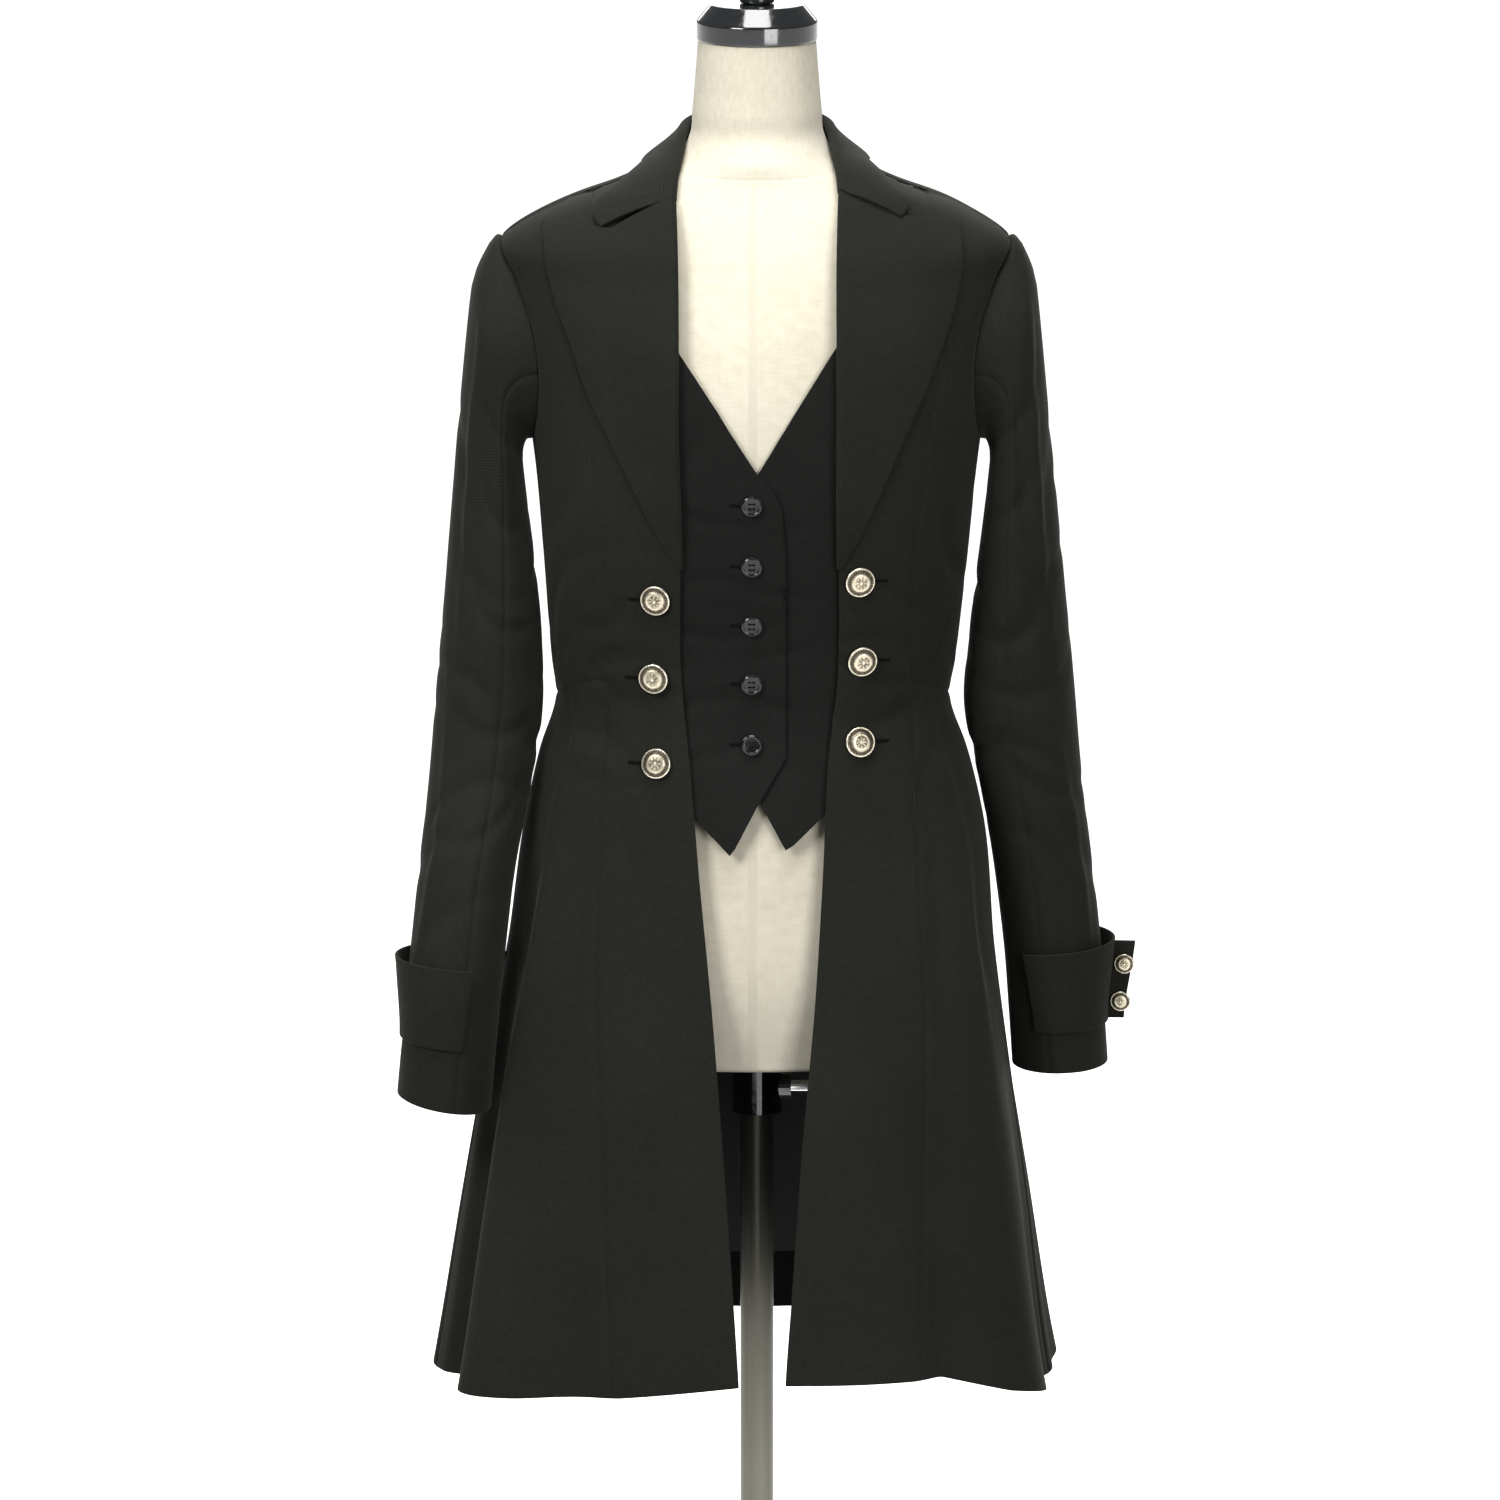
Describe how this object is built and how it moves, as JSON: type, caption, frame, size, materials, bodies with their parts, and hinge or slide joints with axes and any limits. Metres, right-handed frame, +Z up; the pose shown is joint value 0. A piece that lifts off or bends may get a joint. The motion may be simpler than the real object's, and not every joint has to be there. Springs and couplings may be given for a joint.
{
  "type": "long coat on a dress form with a pole stand",
  "caption": "Fitted black long coat with peak lapels, waistcoat front and turned-up cuffs, on a linen dress form with a pole stand.",
  "frame": {"origin": "on the floor under the pole, at the centre of the round foot", "axes": "+Z up along the pole, -Y towards the coat's front, +X on the right of someone who looks at the front"},
  "size_m": [0.552, 0.38, 1.5275],
  "materials": {
    "black_suiting": "fine twill suiting, matt, with a slight warm sheen",
    "black_waistcoating": "fine plain weave, matt",
    "cream_linen": "plain linen stretched over a firm shell",
    "aged_silver": "warm silver plating, darkened in the hollows",
    "black_resin": "polished",
    "black_gloss": "gloss black",
    "grey_satin_metal": "satin grey",
    "chrome": "polished"
  },
  "bodies": {
    "stand": {"foot": "black_gloss"},
    "pole": {"pole": "grey_satin_metal"},
    "form": {"back_bodice_left": "black_suiting", "back_bodice_right": "black_suiting", "back_skirt_left": "black_suiting", "back_skirt_right": "black_suiting", "cap_knob": "black_gloss", "collar_fall": "black_suiting", "collar_stand": "black_suiting", "cuff_band_left": "black_suiting", "cuff_band_right": "black_suiting", "cuff_button_left_1": "aged_silver", "cuff_button_left_2": "aged_silver", "cuff_button_right_1": "aged_silver", "cuff_button_right_2": "aged_silver", "cuff_tab_left": "black_suiting", "cuff_tab_right": "black_suiting", "front_left": "black_suiting", "front_right": "black_suiting", "lapel_left": "black_suiting", "lapel_right": "black_suiting", "metal_button_left_1": "aged_silver", "metal_button_left_2": "aged_silver", "metal_button_left_3": "aged_silver", "metal_button_right_1": "aged_silver", "metal_button_right_2": "aged_silver", "metal_button_right_3": "aged_silver", "neck_cap": "black_gloss", "pole_collar": "black_gloss", "side_bodice_left": "black_suiting", "side_bodice_right": "black_suiting", "side_skirt_left": "black_suiting", "side_skirt_right": "black_suiting", "sleeve_under_left": "black_suiting", "sleeve_under_right": "black_suiting", "sleeve_upper_left": "black_suiting", "sleeve_upper_right": "black_suiting", "torso": "cream_linen", "vest_button_1": "black_resin", "vest_button_2": "black_resin", "vest_button_3": "black_resin", "vest_button_4": "black_resin", "vest_button_5": "black_resin", "vest_front_left": "black_waistcoating", "vest_front_right": "black_waistcoating"},
    "clamp": {"clamp_screw": "chrome"}
  },
  "joints": [
    {"name": "turn", "type": "hinge", "parent": "stand", "child": "pole", "pos_m": [0, 0, 0.02], "axis": [0, 0, 1], "continuous": true},
    {"name": "height", "type": "slide", "parent": "pole", "child": "form", "axis": [0, 0, 1], "range_m": [-0.12, 0.12]},
    {"name": "clamp_turn", "type": "hinge", "parent": "form", "child": "clamp", "pos_m": [0.03, 0, 0.672], "axis": [1, 0, 0], "range_deg": [-360, 0]}
  ]
}
